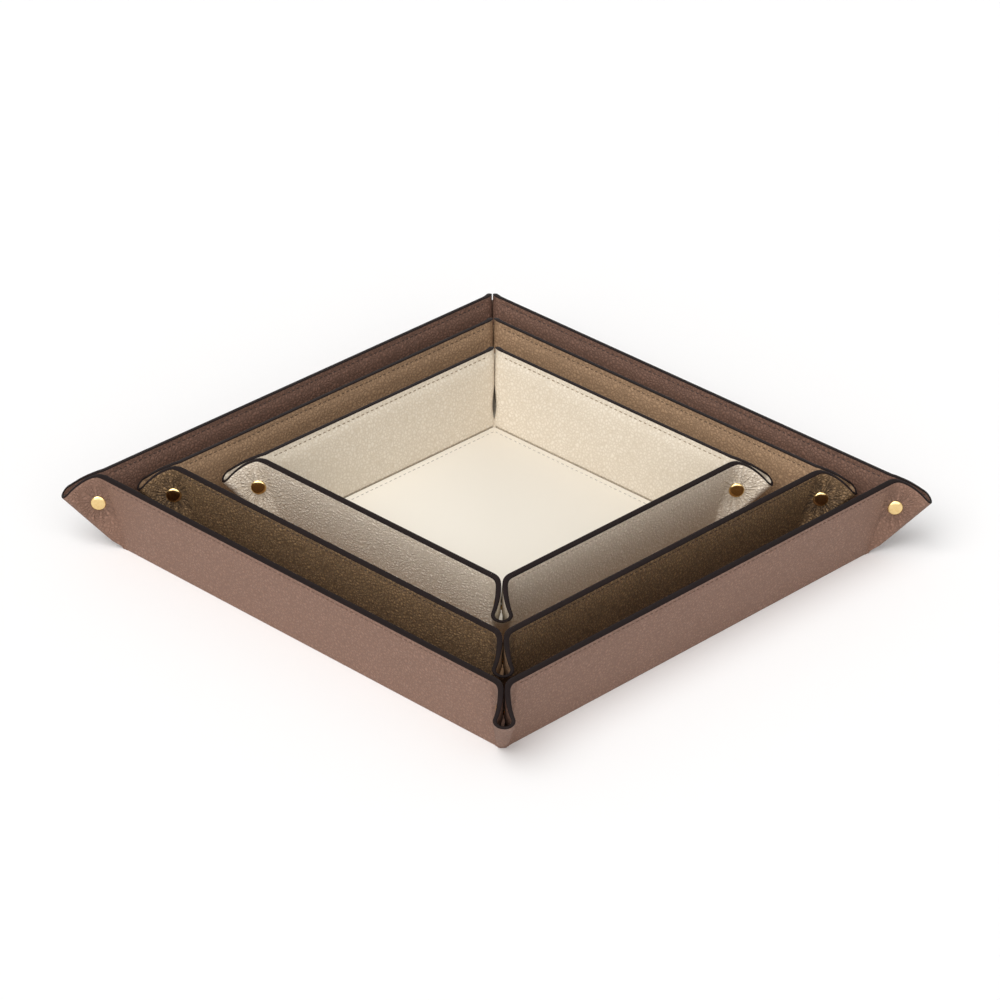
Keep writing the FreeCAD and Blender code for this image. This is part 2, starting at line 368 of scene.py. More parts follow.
def multiply(nodes, links, first, second):
    node = add_node(nodes, "ShaderNodeMath", operation="MULTIPLY", use_clamp=True)
    links.new(first, node.inputs[0])
    links.new(second, node.inputs[1])
    return node.outputs["Value"]


def mix(nodes, links, low, high, factor):
    """Colour between low and high, as a factor goes from 0 to 1."""
    node = add_node(nodes, "ShaderNodeMix", data_type="RGBA")
    node.inputs["A"].default_value = low
    node.inputs["B"].default_value = high
    links.new(factor, node.inputs["Factor"])
    return node.outputs["Result"]


def leather(name, colour, crevice, grain, grain_depth, roughness, swell=LINING_SWELL, pucker_depth=0):
    """Pebbled leather, lighter on the tops and darker in the crevices: partly the grain's own tone, partly
    painted highlight and painted shade.
    grain is the size of a pebble, swell how evenly it rises to its middle,
    and pucker_depth draws creases round a snap, with painted shade in their valleys."""
    material, nodes, links = new_material(name)
    shader = nodes["Principled BSDF"]
    pebble_size = grain * MILLIMETRE
    warp_scale = 1 / (WARP_SPAN_SHARE * pebble_size)
    place = add_node(nodes, "ShaderNodeTexCoord").outputs["Object"]
    warp = add_node(nodes, "ShaderNodeTexNoise", Scale=warp_scale, Detail=1)
    warp_by = add_node(nodes, "ShaderNodeVectorMath", operation="SCALE", Scale=WARP_SHARE * pebble_size)
    warped = add_node(nodes, "ShaderNodeVectorMath", operation="ADD")
    pebble = add_node(nodes, "ShaderNodeTexVoronoi", feature="DISTANCE_TO_EDGE", Scale=1 / pebble_size)
    mottle = add_node(nodes, "ShaderNodeTexNoise", Scale=MOTTLE_SCALE, Detail=MOTTLE_DETAIL)
    links.new(place, warp.inputs["Vector"])
    links.new(warp.outputs["Color"], warp_by.inputs[0])
    links.new(place, warped.inputs[0])
    links.new(warp_by.outputs["Vector"], warped.inputs[1])
    links.new(warped.outputs["Vector"], pebble.inputs["Vector"])
    links.new(place, mottle.inputs["Vector"])

    inside = map_range(nodes, links, pebble.outputs["Distance"], PEBBLE_RISE)
    pillow = add_node(nodes, "ShaderNodeMath", operation="POWER")
    pillow.inputs[1].default_value = swell
    links.new(inside, pillow.inputs[0])
    tops = pillow.outputs["Value"]
    height = tops
    # Painted highlight and shade: the tone rises from the crevices to the pebble tops, partly the grain's
    # own tone.
    tone = map_range(nodes, links, tops, PEBBLE_TONE_AND_PAINTED_LIGHT)
    if pucker_depth:
        height, tone = add_puckers(nodes, links, height, tone, pucker_depth / grain_depth)
    bump = add_node(nodes, "ShaderNodeBump", Strength=1, Distance=grain_depth * MILLIMETRE)
    links.new(height, bump.inputs["Height"])
    links.new(bump.outputs["Normal"], shader.inputs["Normal"])

    cloudy = map_range(nodes, links, mottle.outputs["Fac"], MOTTLE_TONE)
    toned = mix(nodes, links, crevice, colour, multiply(nodes, links, tone, cloudy))
    links.new(toned, shader.inputs["Base Color"])
    worn = map_range(nodes, links, tops, (0, 1, roughness + CREVICE_ROUGHNESS, roughness))
    links.new(worn, shader.inputs["Roughness"])
    shader.inputs["Specular IOR Level"].default_value = LEATHER_SPECULAR
    return material


def add_puckers(nodes, links, height, tone, depth):
    """Adds radial creases to a height, and painted shade in their valleys to a tone, from each point's
    place round its snap.
    """
    place = add_node(nodes, "ShaderNodeAttribute", attribute_name="snap_place").outputs["Vector"]
    radius = add_node(nodes, "ShaderNodeVectorMath", operation="LENGTH")
    bearing = add_node(nodes, "ShaderNodeVectorMath", operation="NORMALIZE")
    spread = add_node(nodes, "ShaderNodeVectorMath", operation="SCALE", Scale=PUCKER_CLOSENESS)
    outwards = add_node(nodes, "ShaderNodeCombineXYZ")
    both = add_node(nodes, "ShaderNodeVectorMath", operation="ADD")
    links.new(place, radius.inputs[0])
    links.new(place, bearing.inputs[0])
    links.new(bearing.outputs["Vector"], spread.inputs[0])
    links.new(map_range(nodes, links, radius.outputs["Value"], PUCKER_DRIFT), outwards.inputs["Z"])
    links.new(spread.outputs["Vector"], both.inputs[0])
    links.new(outwards.outputs["Vector"], both.inputs[1])
    folds = add_node(nodes, "ShaderNodeTexNoise", Scale=PUCKER_SCALE, Detail=PUCKER_DETAIL)
    links.new(both.outputs["Vector"], folds.inputs["Vector"])
    soft = "SMOOTHSTEP"
    fade = map_range(nodes, links, radius.outputs["Value"], PUCKER_FADE, interpolation_type=soft)
    valley = map_range(nodes, links, folds.outputs["Fac"], PUCKER_VALLEY, interpolation_type=soft)
    crease = multiply(nodes, links, valley, fade)
    # Painted shade: the tone darkens in the valleys of the creases.
    painted_shade = map_range(nodes, links, crease, PUCKER_PAINTED_SHADE)
    sunk = add_node(nodes, "ShaderNodeMath", operation="MULTIPLY_ADD")
    sunk.inputs[1].default_value = -depth
    links.new(crease, sunk.inputs[0])
    links.new(height, sunk.inputs[2])
    return sunk.outputs["Value"], multiply(nodes, links, tone, painted_shade)


def two_toned(name, dark, light, kind, **settings):
    """A material whose colour follows a texture of a kind, and the value of that texture."""
    material, nodes, links = new_material(name)
    place = add_node(nodes, "ShaderNodeTexCoord").outputs["Object"]
    texture = add_node(nodes, kind, **settings)
    links.new(place, texture.inputs["Vector"])
    value = texture.outputs["Fac"]
    links.new(mix(nodes, links, dark, light, value), nodes["Principled BSDF"].inputs["Base Color"])
    return material, value


def painted_edge():
    """Thick edge paint: dark, satin and slightly uneven."""
    dark, light = srgb(*PAINT_DARK), srgb(*PAINT_LIGHT)
    noise = {"Scale": PAINT_SCALE, "Detail": PAINT_DETAIL}
    material, ripple = two_toned("edge_paint", dark, light, "ShaderNodeTexNoise", **noise)
    nodes, links = material.node_tree.nodes, material.node_tree.links
    shader = nodes["Principled BSDF"]
    bump = add_node(nodes, "ShaderNodeBump", Strength=PAINT_BUMP_SHARE, Distance=PAINT_BUMP * MILLIMETRE)
    links.new(ripple, bump.inputs["Height"])
    links.new(bump.outputs["Normal"], shader.inputs["Normal"])
    shader.inputs["Roughness"].default_value = PAINT_ROUGHNESS
    shader.inputs["Specular IOR Level"].default_value = PAINT_SPECULAR
    return material


def thread(name, colour):
    """Waxed thread with a twist along it."""
    dark = darker(colour, THREAD_DARK_SHARE)
    twist = {"Scale": THREAD_SCALE, "Distortion": THREAD_DISTORTION}
    material = two_toned(name, dark, colour, "ShaderNodeTexWave", **twist)[0]
    material.node_tree.nodes["Principled BSDF"].inputs["Roughness"].default_value = THREAD_ROUGHNESS
    return material


def polished_brass():
    dark, light = srgb(*BRASS_DARK), srgb(*BRASS_LIGHT)
    noise = {"Scale": BRASS_SCALE, "Detail": BRASS_DETAIL}
    material, wear = two_toned("polished_brass", dark, light, "ShaderNodeTexNoise", **noise)
    nodes, links = material.node_tree.nodes, material.node_tree.links
    shader = nodes["Principled BSDF"]
    links.new(map_range(nodes, links, wear, BRASS_GLOSS), shader.inputs["Roughness"])
    shader.inputs["Metallic"].default_value = 1
    return material


def grey_board():
    dark, light = srgb(*BOARD_DARK), srgb(*BOARD_LIGHT)
    noise = {"Scale": BOARD_SCALE, "Detail": BOARD_DETAIL}
    material = two_toned("grey_board", dark, light, "ShaderNodeTexNoise", **noise)[0]
    material.node_tree.nodes["Principled BSDF"].inputs["Roughness"].default_value = BOARD_ROUGHNESS
    return material


# Ears
def ear_leg(height):
    """Half the outer width of an ear's legs, which open out from the plain corner of the base."""
    return lerp(ROOT_HALF_WIDTH, EAR_LEG, smooth_step(height / PINCH_RISE))


def crease_out(height):
    return math.sqrt(2) * height * math.tan(LEAN) - ear_leg(height)


def nose_radius(height):
    return ear_leg(height) + (NOSE_RADIUS - EAR_LEG) * height / EAR_TIP_HEIGHT


def lining_depth(up):
    """Depth of the lining's face under the outer one: the wall thins towards its rim."""
    return WALL_DEPTH - RIM_THINNING * smooth_step((up - WALL_HEIGHT + THIN_RUN) / THIN_RUN)


EAR_RADIUS = math.hypot(crease_out(WALL_RISE), WALL_RISE)
EAR_TIP_HEIGHT = EAR_RADIUS * math.sin(FOLD_RISE)
CROWN_ANGLE = math.atan2(WALL_RISE, crease_out(WALL_RISE))
SNAP_UP = WALL_RISE - SNAP_DROP
SNAP_OUT = crease_out(SNAP_UP) + SNAP_INSET
ROOT_NOSE = nose_radius(ROOT_HEIGHT)
ROOT_RUN = math.sqrt((ROOT_NOSE + ROOT_FILLET) ** 2 - (ear_leg(ROOT_HEIGHT) + ROOT_FILLET) ** 2)
ROOT_TIP = crease_out(ROOT_HEIGHT) + ROOT_LEAD + ROOT_LEG + ROOT_RUN + ROOT_NOSE
BEND_COLUMNS = 1 + SECTION_STEPS["bend"]
FLARE_COLUMNS = BEND_COLUMNS + SECTION_STEPS["leg"] + SECTION_STEPS["flare"]
EAR_COLUMNS = 2 + sum(SECTION_STEPS.values())


@functools.lru_cache(maxsize=None)
def ear_section(height, inner):
    """Points of half an ear's plan at a height, from the wall to the tip of its nose.

    It bends off the wall, runs along a leg that is flat at the snap, and flares into the round nose,
    which is drawn in at its root.
    inner is 0 on the outer face and 1 on the lining's."""
    level = max(height, ROOT_HEIGHT)
    lead = lerp(ROOT_LEAD, CROWN_LEAD, (level - ROOT_HEIGHT) / (WALL_RISE - ROOT_HEIGHT))
    flat = ROOT_LEG + SNAP_FLAT * smooth_step(1 - abs(level - SNAP_UP) / SNAP_FLAT_REACH)
    nose = nose_radius(level)
    leg = ear_leg(level)
    bend_end = crease_out(level) + lead
    centre = ROOT_TIP + (level - ROOT_HEIGHT) / math.tan(FOLD_RISE) - nose
    run = centre - bend_end - flat
    fillet = (run ** 2 - nose ** 2 + leg ** 2) / (nose - leg) / 2
    bend = lead / math.tan(HALF_BEND)
    up = level / math.cos(LEAN) - WALL_DEPTH * math.tan(LEAN)
    wall_depth = inner * lining_depth(up) / math.cos(LEAN)
    wall_depth += lerp(-LAP_LIFT, LAP_LIFT, inner)
    leg_depth = inner * min(LEG_SKIN, leg - LINING_PLAY)
    nose_depth = inner * min(EAR_SKIN, leg - LINING_PLAY)

    bend_centre = Vector((bend_end, -leg - bend))
    flare_centre = Vector((bend_end + flat, -leg - fillet))
    nose_centre = Vector((centre, 0))
    quarter = math.pi / 2
    meet = math.atan2(leg + fillet, run)

    def spot(middle, radius, angle):
        return middle + radius * Vector((math.cos(angle), math.sin(angle)))

    wall_angle = 1.5 * quarter
    bend_start = spot(bend_centre, bend + wall_depth, wall_angle)
    points = [bend_start - Vector((1, 1)).normalized() * WALL_OVERLAP]
    for i in range(SECTION_STEPS["bend"] + 1):
        share = i / SECTION_STEPS["bend"]
        thickness = lerp(wall_depth, leg_depth, smooth_step(share))
        points.append(spot(bend_centre, bend + thickness, lerp(wall_angle, quarter, share)))
    leg_start = points[-1]
    leg_end = spot(flare_centre, fillet + leg_depth, quarter)
    for i in range(1, SECTION_STEPS["leg"]):
        points.append(leg_start.lerp(leg_end, i / SECTION_STEPS["leg"]))
    for i in range(SECTION_STEPS["flare"]):
        share = i / SECTION_STEPS["flare"]
        thickness = lerp(leg_depth, nose_depth, smooth_step(share))
        points.append(spot(flare_centre, fillet + thickness, lerp(quarter, meet, share)))
    for i in range(SECTION_STEPS["nose"] + 1):
        angle = lerp(meet - 2 * quarter, 0, i / SECTION_STEPS["nose"])
        points.append(spot(nose_centre, nose - nose_depth, angle))
    squash = lerp(ROOT_SQUASH_SHARE, 1, smooth_step(height / ROOT_ROUND))
    for point in points[BEND_COLUMNS + 1:]:
        point.x = lerp(bend_end, point.x, squash)
    return [Vector((point.x, point.y, height)) for point in points]


def gape(height):
    """How far the lining stands off the middle of the corner, beyond its usual gap."""
    return GAPE_WIDTH * smooth_step(1 - abs(height - GAPE_HEIGHT) / GAPE_REACH)


def gape_shift(column, height):
    """Shift of the lining at a column, along the wall at first.

    Round the bend it turns away from the other half, and over the flare it fades."""
    along = 1 - smooth_step((column - 1) / (BEND_COLUMNS - 1))
    left = smooth_step((FLARE_COLUMNS - column) / SECTION_STEPS["flare"])
    return Vector((-along, -1, 0)) * gape(height) * left


def ear_place(column, height, inner):
    """A place on half an ear, inner 0 on the outer face and 1 on the lining's."""
    place = ear_section(height, 0)[column].lerp(ear_section(height, 1)[column], inner)
    return place + gape_shift(column, height) * inner ** 2


def past_rim(place):
    out = max(place.x, 0)
    fall = (CROWN_ANGLE - math.atan2(place.z, out)) / (CROWN_ANGLE - FOLD_RISE)
    return math.hypot(out, place.z) > EAR_RADIUS * (1 - RIM_DROOP_SHARE * smooth_step(fall))


def rim_height(column, inner):
    """Height where a column meets the rounded rim, which starts square to the wall's slope."""
    low, high = ROOT_HEIGHT, WALL_RISE
    if not past_rim(ear_place(column, high, inner)):
        unbent = 1 - smooth_step(column / BEND_COLUMNS)
        return high + unbent * inner * lining_depth(WALL_HEIGHT) * math.sin(LEAN)
    for _ in range(RIM_SEARCH_STEPS):
        middle = (low + high) / 2
        if past_rim(ear_place(column, middle, inner)):
            high = middle
        else:
            low = middle
    return low


def ear_rise(column, inner):
    """Points of a column from its foot to the rim."""
    top = rim_height(column, inner)
    return [ear_place(column, lerp(EAR_FOOT, top, row / EAR_ROWS), inner) for row in range(EAR_ROWS + 1)]


def bead(outer, inner, up):
    """Points of the painted edge over the rim, from its outer face to its inner one."""
    middle = (outer + inner) / 2
    half = (outer - inner) / 2 * BEAD_SPREAD_SHARE
    points = []
    for step in range(BEAD_STEPS + 1):
        angle = math.pi * step / BEAD_STEPS
        points.append(middle + half * math.cos(angle) + up * BEAD_RISE * math.sin(angle) ** BEAD_SQUARENESS)
    return points


def ear_loops(inner_face, back):
    """Closed loops of one skin of half an ear, one per column."""
    loops = []
    for column in range(EAR_COLUMNS):
        face = ear_rise(column, inner_face)
        behind = ear_rise(column, back)[::-1]
        if inner_face == 0:
            inner = ear_place(column, rim_height(column, 1), 1)
            up = (face[-1] - face[-2]).normalized()
            edge = bead(face[-1], inner, up)
            loops.append(face[:-1] + edge + behind)
        else:
            loops.append(face + behind)
    return loops


def outer_kind(column, strip):
    """Painted edge over the rim, leather elsewhere."""
    return int(EAR_ROWS <= strip < EAR_ROWS + BEAD_STEPS)


def half_ears(tray, finishes):
    """Both half ears of every wall: the outer skin with its painted edge, and the lining."""
    skins = (
        ("outer", ear_loops(0, OUTER_BACK_SHARE), outer_kind, [finishes["outer_ear"], finishes["edge"]]),
        ("lining", ear_loops(1, LINING_BACK_SHARE), None, [finishes["lining"]]),
    )
    for index, side in enumerate(SIDES):
        for ear_side, mirror, flap in ((side, 1, "stud"), (SIDES[index - 1], -1, "socket")):
            for skin, loops, kind_at, materials in skins:
                mirrored = [[Vector((p.x, mirror * p.y, p.z)) for p in loop] for loop in loops]
                placed = [[ear_point(tray, ear_side, p) for p in loop] for loop in mirrored]
                points, faces, face_materials = loft(placed, kind_at, True)
                name = f"{tray}_{side}_{flap}_ear_{skin}"
                piece = add_mesh(name, points, faces, materials, face_materials)
                if skin == "outer":
                    mark_snap(piece, loops)
                blend_at_crease(piece, mirror)
                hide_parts(f"{tray}_corner_gussets")


def mark_snap(piece, loops):
    """Gives each point of a half ear its place round the snap, for the puckers."""
    values = []
    for loop in loops:
        for point in loop:
            values += [point.x - SNAP_OUT, point.z - SNAP_UP, 0]
    places = piece.data.attributes.new("snap_place", "FLOAT_VECTOR", "POINT")
    places.data.foreach_set("vector", values)


def blend_at_crease(piece, mirror):
    """Bakes a piece's place into its points; the crease between a wall and its half ear, and the way across
    it, are worked out but not used.
    """
    crease = Vector((1, 0, 1 / (math.sqrt(2) * math.tan(LEAN)))).normalized()
    across = Vector((math.cos(HALF_BEND), mirror * math.sin(HALF_BEND), 0))
    across -= crease * across.dot(crease)
    across.normalize()
    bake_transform(piece)


# Walls
def wall_end(tray, height):
    """Half length of a wall's leather at a height over its hinge, where the half ears begin."""
    first = ear_section(height, 0)[0]
    return HALF_SIDES[tray] + (first.x + first.y) / math.sqrt(2)


def wall_piece(tray, side, label, profile, materials, end_gap, kinds=None):
    """A closed skin along a wall from a closed profile of (up, depth) points.

    kinds gives the material of each stretch of the profile."""
    ends = []
    for up, depth in profile:
        height = up * math.cos(LEAN) + depth * math.sin(LEAN)
        opening = gape(height) * math.sqrt(2) if depth > WALL_DEPTH / 2 else 0
        ends.append(wall_end(tray, min(height, WALL_RISE)) - opening - end_gap)
    loops = []
    for column in range(WALL_COLUMNS + 1):
        share = 2 * column / WALL_COLUMNS - 1
        loops.append([wall_point(tray, side, share * end, *spot) for end, spot in zip(ends, profile)])
    kind_at = (lambda column, strip: kinds[strip]) if kinds else None
    points, faces, face_materials = loft(loops, kind_at, not kinds)
    return add_mesh(f"{tray}_{side}_wall_{label}", points, faces, materials, face_materials)


def spaced(low, high, steps):
    return [lerp(low, high, i / steps) for i in range(steps)]


def grooved_face(foot, depth_at, into):
    """Points up a face, with the groove of its stitches. into is the way into the leather."""
    stitch = WALL_HEIGHT - RIM_TO_STITCH
    heights = spaced(foot, stitch - 2 * GROOVE_HALF, RISE_STEPS) + [stitch - GROOVE_HALF]
    face = [(up, depth_at(up)) for up in heights]
    face.append((stitch, depth_at(stitch) + into * GROOVE))
    face.append((stitch + GROOVE_HALF, depth_at(stitch + GROOVE_HALF)))
    return face


def outer_profile():
    """The outer leather and the painted edge over the rim, with the material of each stretch."""
    face = grooved_face(FOOT_UP, lambda up: 0, 1)
    middle = lining_depth(WALL_HEIGHT) / 2
    edge = []
    for step in range(BEAD_STEPS + 1):
        angle = math.pi * step / BEAD_STEPS
        up = WALL_HEIGHT + BEAD_RISE * math.sin(angle) ** BEAD_SQUARENESS
        edge.append((up, middle - middle * BEAD_SPREAD_SHARE * math.cos(angle)))
    under = WALL_HEIGHT - EDGE_TUCK
    back = [(under, lining_depth(under) - LINING_SKIN / 2), (under, OUTER_SKIN), (FOOT_UP, OUTER_SKIN)]
    return face + edge + back, [0] * len(face) + [1] * BEAD_STEPS + [0] * (len(back) + 1)


def lining_profile():
    face = grooved_face(LINING_FOOT_UP, lining_depth, -1)
    top = WALL_HEIGHT - LINING_TUCK
    face.append((top, lining_depth(top)))
    return face + [(up, depth - LINING_SKIN) for up, depth in face[::-1]]


def board_profile():
    front = OUTER_SKIN + BOARD_PLAY
    top = WALL_HEIGHT - BOARD_TUCK
    back = lining_depth(top) - LINING_SKIN - BOARD_PLAY
    return [(BOARD_FOOT_UP, front), (top, front), (top, back), (BOARD_FOOT_UP, back)]


def wall_pieces(tray, finishes):
    outer, kinds = outer_profile()
    outer_materials = [finishes["outer"], finishes["edge"]]
    for side in SIDES:
        body = f"{tray}_{side}_wall"
        skin = wall_piece(tray, side, "outer", outer, outer_materials, -WALL_LAP, kinds)
        lining = wall_piece(tray, side, "lining", lining_profile(), [finishes["lining"]], -WALL_LAP)
        board = wall_piece(tray, side, "board", board_profile(), [finishes["board"]], BOARD_END_GAP)
        for piece in (skin, lining):
            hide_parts(f"{tray}_{side}_wall")
        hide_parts(f"{tray}_{side}_board")
        for piece in (skin, lining, board):
            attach(piece, body)


# Floors and the creases round them
def plate(name, half, corner, low, high, material):
    """Plate with rounded corners and softened edges."""
    outline = []
    for quarter in range(4):
        turn = math.radians(90 * quarter)
        middle = Matrix.Rotation(turn, 3, "Z") @ Vector((half - corner, half - corner, 0))
        for step in range(CORNER_STEPS + 1):
            angle = turn + math.radians(90) * step / CORNER_STEPS
            outline.append(middle + corner * Vector((math.cos(angle), math.sin(angle), 0)))
    edges = ((SOFT_EDGE, low), (0, low + SOFT_EDGE), (0, high - SOFT_EDGE), (SOFT_EDGE, high))
    loops = []
    for shrink, height in edges:
        share = (half - shrink) / half
        loops.append([Vector((p.x * share, p.y * share, height)) for p in outline])
    points, faces = loft(loops)[:2]
    return add_mesh(name, points, faces, [material])


def floor_pieces(tray, finishes):
    half = HALF_SIDES[tray]
    base = BASES[tray]
    top = base + FLOOR_DEPTH
    under = top - LINING_SKIN
    sole = plate(f"{tray}_sole", half - SOLE_INSET, SOLE_CORNER, base, base + OUTER_SKIN, finishes["outer"])
    lining = plate(f"{tray}_floor_top", half - FLOOR_INSET, FLOOR_CORNER, under, top, finishes["floor"])
    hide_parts(f"{tray}_floor_outer")
    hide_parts(f"{tray}_floor_lining")
    for piece in (sole, lining):
        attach(piece, f"{tray}_tray")
    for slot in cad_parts[f"{tray}_floor_board"].material_slots:
        slot.material = finishes["board"]


def bezier(first, control, last, steps):
    points = []
    for i in range(steps + 1):
        share = i / steps
        points.append(first.lerp(control, share).lerp(control.lerp(last, share), share))
    return points


def crease_piece(tray, side, label, curve, thickness, end_gap, material):
    """Strip of leather round a fold, from the floor to the wall.

    The curve's points are (inwards, up) from the base."""
    half = HALF_SIDES[tray]
    back = []
    for i, point in enumerate(curve):
        along = curve[min(i + 1, len(curve) - 1)] - curve[max(i - 1, 0)]
        back.append(point + Vector((along.y, -along.x)).normalized() * thickness)

    def place(along, point):
        return TURNS[side] @ Vector((along, point.x - half, BASES[tray] + point.y))

    loops = []
    for column in range(CREASE_COLUMNS + 1):
        along = (half - end_gap) * (2 * column / CREASE_COLUMNS - 1)
        loops.append([place(along, point) for point in curve + back[::-1]])
    points, faces = loft(loops)[:2]
    piece = add_mesh(f"{tray}_{side}_{label}", points, faces, [material])
    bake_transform(piece)
    return piece


def on_wall(up, depth):
    """(inwards, up) of a place on a wall, from the base."""
    inwards = depth * math.cos(LEAN) - up * math.sin(LEAN)
    return Vector((inwards, WALL_LIFT + up * math.cos(LEAN) + depth * math.sin(LEAN)))


def crease_pieces(tray, finishes):
    sole_edge = Vector((SOLE_INSET, 0))
    outer = bezier(sole_edge, on_wall(-WALL_LIFT / math.cos(LEAN), 0), on_wall(FOOT_UP, 0), CREASE_STEPS)
    floor_edge = Vector((FLOOR_INSET, FLOOR_DEPTH - SOFT_EDGE))
    wall_foot = on_wall(LINING_FOOT_UP, WALL_DEPTH)
    lining = bezier(floor_edge, Vector((VALLEY_INSET, VALLEY_HEIGHT)), wall_foot, CREASE_STEPS)
    for side in SIDES:
        skin = finishes["outer"]
        piece = crease_piece(tray, side, "outer_crease", outer, CREASE_SKIN, CREASE_END, skin)
        # Painted shade: the lining's crease strip is darker than the lining, standing in for the shade in
        # the fold.
        skin = finishes["crease"]
        piece = crease_piece(tray, side, "lining_crease", lining, -CREASE_SKIN, LINING_CREASE_END, skin)


# Sewing
def sew(name, start, end, outward, material):
    """A row of stitches on a straight line, lying on a face."""
    run = end - start
    along = run.normalized()
    sideways = outward.cross(along)
    count = int(run.length / STITCH_PITCH)
    pitch = run / count
    points = []
    faces = []
    for i in range(count):
        middle = start + pitch * (i + 0.5) + outward * STITCH_LIFT
        loops = []
        for share, swell in STITCH_SHAPE_SHARES:
            loop = []
            for corner in range(STITCH_SIDES):
                angle = 2 * math.pi * corner / STITCH_SIDES
                round_it = sideways * math.cos(angle) + outward * math.sin(angle)
                loop.append(middle + along * STITCH_LENGTH * share + round_it * STITCH_RADIUS * swell)
            loops.append(loop)
        stitch_points, stitch_faces = loft(loops)[:2]
        faces += [tuple(len(points) + corner for corner in face) for face in stitch_faces]
        points += stitch_points
    return add_mesh(name, points, faces, [material])


def sewing(tray, finishes):
    up = WALL_HEIGHT - RIM_TO_STITCH
    reach = HALF_SIDES[tray] - FLOOR_INSET - CREASE_TO_STITCH
    top = BASES[tray] + FLOOR_DEPTH
    for side in SIDES:
        inwards = wall_point(tray, side, 0, 0, 1) - wall_point(tray, side, 0, 0, 0)
        for label, depth, outward in (("lining", lining_depth(up), inwards), ("outer", 0, -inwards)):
            end = wall_end(tray, up * math.cos(LEAN) + depth * math.sin(LEAN)) - STITCH_END_GAP
            first = wall_point(tray, side, -end, up, depth)
            last = wall_point(tray, side, end, up, depth)
            row = sew(f"{tray}_{side}_{label}_stitches", first, last, outward, finishes[f"{label}_thread"])
            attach(row, f"{tray}_{side}_wall")
        first = TURNS[side] @ Vector((-reach, -reach, top))
        last = TURNS[side] @ Vector((reach, -reach, top))
        row = sew(f"{tray}_{side}_floor_stitches", first, last, Vector((0, 0, 1)), finishes["floor_thread"])
        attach(row, f"{tray}_tray")


# Press studs: the cap as (radius, drop under its crown), the rest as (radius, height over the cap's seat)
CAP_DROPS = (
    (0, 0), (1.2, 0.03), (2.2, 0.12), (2.9, 0.27), (3.4, 0.5), (3.65, 0.75), (CAP_RADIUS, 0.95),
    (3.7, 1.12), (3.5, 1.2), (SHANK_RADIUS, 1.2),
)
CAP_PROFILE = tuple((radius, CAP_RISE - drop) for radius, drop in CAP_DROPS)
SHANK_PROFILE = ((SHANK_RADIUS, SKIN_SEAM - CAP_SEAT), (WASHER_RADIUS, SKIN_SEAM - CAP_SEAT))
STUD_PROFILE = (
    (WASHER_RADIUS, -2.5), (2.6, -2.6), (1.2, -2.6), (1.1, -2.85),
    (1.45, -3.2), (1.4, -3.45), (1, -3.65), (0, -3.7),
)
SOCKET_PROFILE = ((WASHER_RADIUS, -2.5), (2.6, -2.6), (1.85, -2.6), (1.65, -2.5), (1.65, -1.7), (0, -1.6))


def turned_piece(name, profile, place, material):
    """Body of revolution about the local Z axis, from (radius, height) points."""
    points = []
    faces = []
    for radius, height in profile:
        for step in range(CAP_STEPS):
            angle = 2 * math.pi * step / CAP_STEPS
            points.append(place @ Vector((radius * math.cos(angle), radius * math.sin(angle), height)))
    for low in range(0, len(points) - CAP_STEPS, CAP_STEPS):
        for step in range(CAP_STEPS):
            after = (step + 1) % CAP_STEPS
            high = low + CAP_STEPS
            faces.append((low + step, low + after, high + after, high + step))
    return add_mesh(name, points, faces, [material])


def press_studs(tray, finishes):
    for index, side in enumerate(SIDES):
        for ear_side, mirror, kind, profile in (
            (side, -1, "stud", STUD_PROFILE),
            (SIDES[index - 1], 1, "socket", SOCKET_PROFILE),
        ):
            origin = ear_point(tray, ear_side, Vector((SNAP_OUT, mirror * CAP_SEAT, SNAP_UP)))
            axis = ear_point(tray, ear_side, Vector((SNAP_OUT, mirror * (CAP_SEAT + 1), SNAP_UP))) - origin
            place = Matrix.Translation(origin) @ axis.to_track_quat("Z", "Y").to_matrix().to_4x4()
            whole = CAP_PROFILE + SHANK_PROFILE + profile
            piece = turned_piece(f"{tray}_{side}_{kind}_cap", whole, place, finishes["brass"])
            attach(piece, f"{tray}_{side}_{kind}_flap")
            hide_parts(f"{tray}_{side}_snap_{kind}")


# Colours of each tray, read from the photograph, and the depth of its grain
# The dark colours are those of the pebbles' crevices, partly the leather's own tone and partly painted
# shade; each lining_dark also gives the crease strip its painted shade.
COLOURS = {
    "large": {
        "outer": srgb(140, 107, 90), "outer_dark": srgb(106, 79, 65),
        "lining": srgb(124, 91, 75), "lining_dark": srgb(70, 50, 40),
        "floor": srgb(120, 88, 72), "lining_thread": srgb(52, 38, 32),
        "outer_grain": 1.7, "outer_depth": 0.22, "ear_depth": 0.36, "lining_depth": 0.24,
    },
    "medium": {
        "outer": srgb(172, 138, 99), "outer_dark": srgb(47, 33, 20),
        "lining": srgb(165, 134, 103), "lining_dark": srgb(111, 87, 65),
        "floor": srgb(150, 117, 85), "lining_thread": srgb(84, 65, 48),
        "outer_grain": 1.6, "outer_depth": 0.55, "ear_depth": 0.4, "lining_depth": 0.22,
    },
    "small": {
        "outer": srgb(247, 236, 220), "outer_dark": srgb(197, 181, 160),
        "lining": srgb(219, 209, 193), "lining_dark": srgb(190, 176, 155),
        "floor": srgb(238, 231, 218), "lining_thread": srgb(140, 122, 98),
        "outer_grain": 1.6, "outer_depth": 0.55, "ear_depth": 0.4, "lining_depth": 0.12,
    },
}


